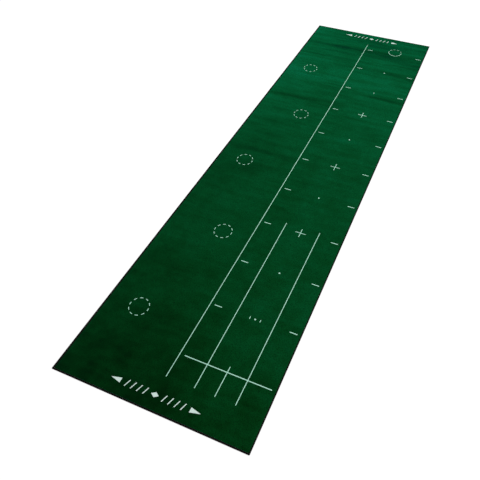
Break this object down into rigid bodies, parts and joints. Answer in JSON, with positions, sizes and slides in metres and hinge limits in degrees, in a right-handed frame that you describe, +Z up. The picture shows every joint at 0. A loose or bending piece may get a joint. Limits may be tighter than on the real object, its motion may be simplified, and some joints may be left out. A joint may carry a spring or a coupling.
{
  "type": "practice putting mat",
  "caption": "Flat rubber-backed putting mat with cut green pile, white aim lines, rings and distance ticks, and black overlocked edges.",
  "frame": {"origin": "on the floor under the middle of the mat", "axes": "+Z up, +Y along the mat from the player's end to the target end, +X to the player's right"},
  "size_m": [0.66, 2.4, 0.006],
  "materials": {
    "backing_rubber": "matte black natural rubber, fine waffle grip",
    "latex": "dull off-white latex",
    "white_yarn": "undyed cut pile, matte",
    "green_yarn": "dark green dyed cut pile, soft sheen",
    "edge_thread": "black overlock thread"
  },
  "bodies": {
    "root": {"rubber_backing": "backing_rubber", "bond_coat": "latex", "backing_cloth_white_tufts": "white_yarn", "green_pile": "green_yarn", "edge_binding_left": "edge_thread", "edge_binding_right": "edge_thread", "edge_binding_near": "edge_thread", "edge_binding_far": "edge_thread"}
  },
  "joints": []
}
